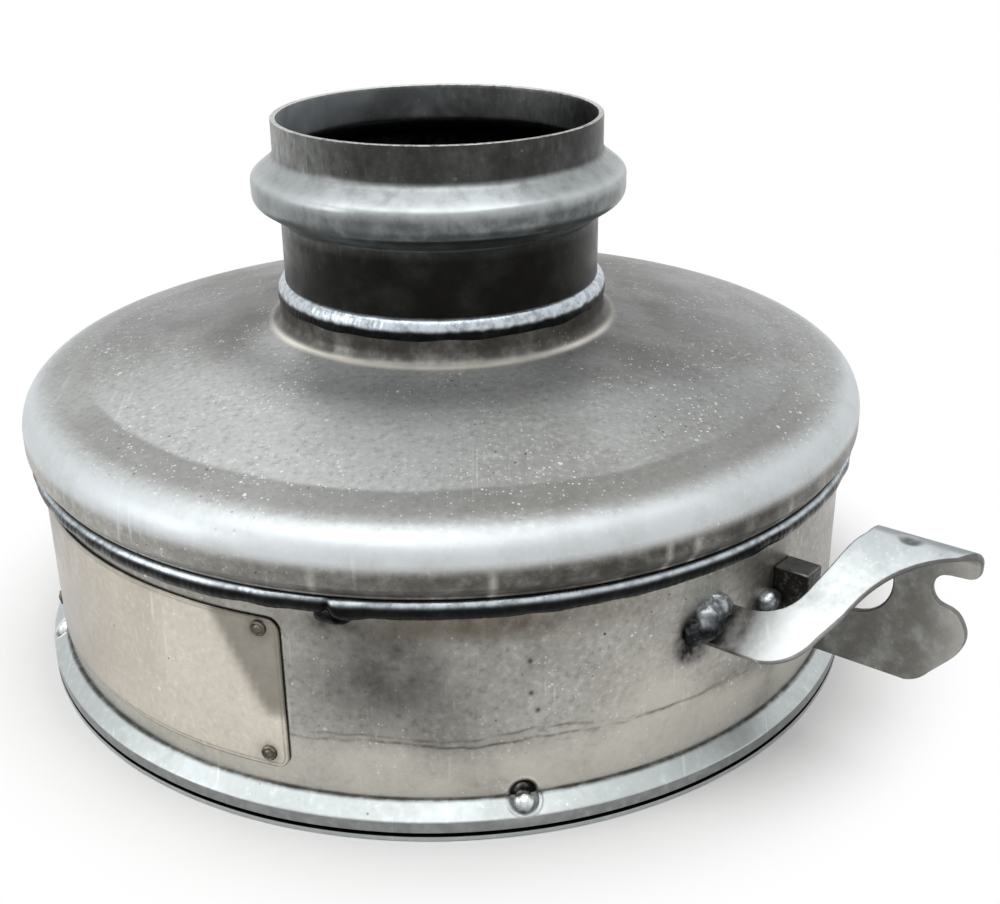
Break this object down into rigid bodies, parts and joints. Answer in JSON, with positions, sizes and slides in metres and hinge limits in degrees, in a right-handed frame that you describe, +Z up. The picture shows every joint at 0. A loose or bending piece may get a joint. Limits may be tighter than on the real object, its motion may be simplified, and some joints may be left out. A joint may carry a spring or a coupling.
{
  "type": "diesel particulate filter",
  "caption": "Round steel exhaust filter section: short can with clamp flange, sloped dome, beaded neck, riveted bare plate and a folded side bracket.",
  "frame": {"origin": "on the can's axis, in the plane of the flange's sealing face", "axes": "+Z up along the can's axis to the neck's rim, -Y to the front seen in the picture, +X to the bracket's side"},
  "size_m": [0.3416, 0.335, 0.2095],
  "materials": {
    "can_steel": "satin, stained",
    "flange_steel": "bright turned",
    "weld_steel": "rippled weld",
    "tack_steel": "bright weld",
    "dome_steel": "satin, specked",
    "neck_steel": "heat darkened",
    "filter_ceramic": "porous",
    "mat_fibre": "fibrous",
    "mesh_steel": "knitted wire",
    "retainer_steel": "satin",
    "plate_steel": "satin, bare",
    "rivet_steel": "dull",
    "bracket_steel": "pickled, pale",
    "burnt_weld": "burnt weld",
    "block_steel": "dull"
  },
  "bodies": {
    "root": {"body_shell": "can_steel", "flange_ring": "flange_steel", "flange_weld": "weld_steel", "flange_tacks": "tack_steel", "end_dome": "dome_steel", "seam_weld": "weld_steel", "neck_pipe": "neck_steel", "neck_weld": "weld_steel", "filter_brick": "filter_ceramic", "support_mat": "mat_fibre", "lower_seal": "mesh_steel", "upper_seal": "mesh_steel", "lower_retainer": "retainer_steel", "upper_retainer": "retainer_steel", "data_plate": "plate_steel", "plate_rivets": "rivet_steel", "bracket": "bracket_steel", "bracket_end_weld": "burnt_weld", "bracket_fin_weld": "burnt_weld", "stop_block": "block_steel", "block_weld": "burnt_weld"}
  },
  "joints": []
}
